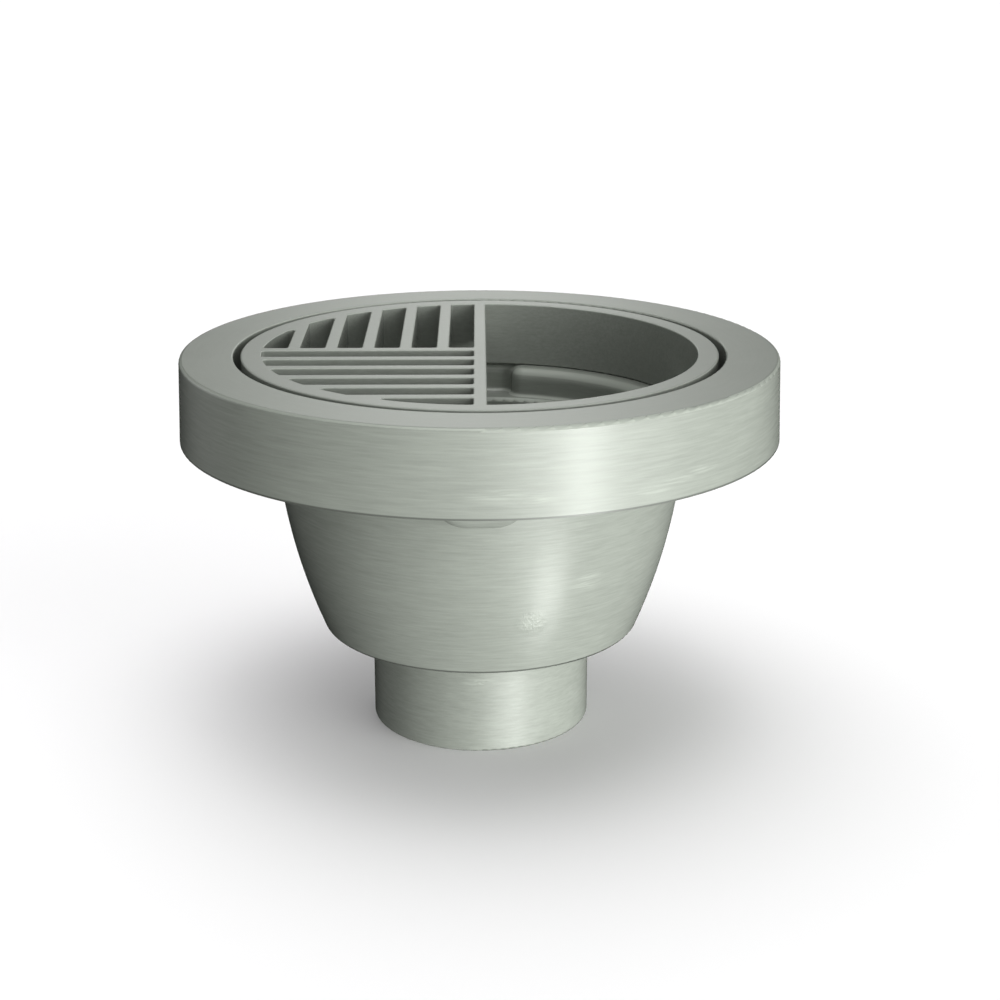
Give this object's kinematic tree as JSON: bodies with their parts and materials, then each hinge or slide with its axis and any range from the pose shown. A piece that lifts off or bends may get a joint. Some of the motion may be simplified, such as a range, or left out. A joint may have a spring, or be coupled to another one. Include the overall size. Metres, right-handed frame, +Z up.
{
  "type": "floor sink",
  "caption": "Round moulded floor sink with a deep curved bowl, a bottom spigot outlet, a recessed rim and a loose grate that covers the left half and leaves the right half open.",
  "frame": {"origin": "centre of the outlet's lower end, at the bottom of the sink", "axes": "+Z up along the outlet and out of the open top, -Y towards the front, +X towards the open half of the grate"},
  "size_m": [0.3068, 0.3068, 0.1985],
  "materials": {
    "body_plastic": "satin moulded PVC, grey",
    "grate_plastic": "satin moulded PVC, grey"
  },
  "bodies": {
    "root": {"sink_body": "body_plastic", "half_grate": "grate_plastic"}
  },
  "joints": []
}
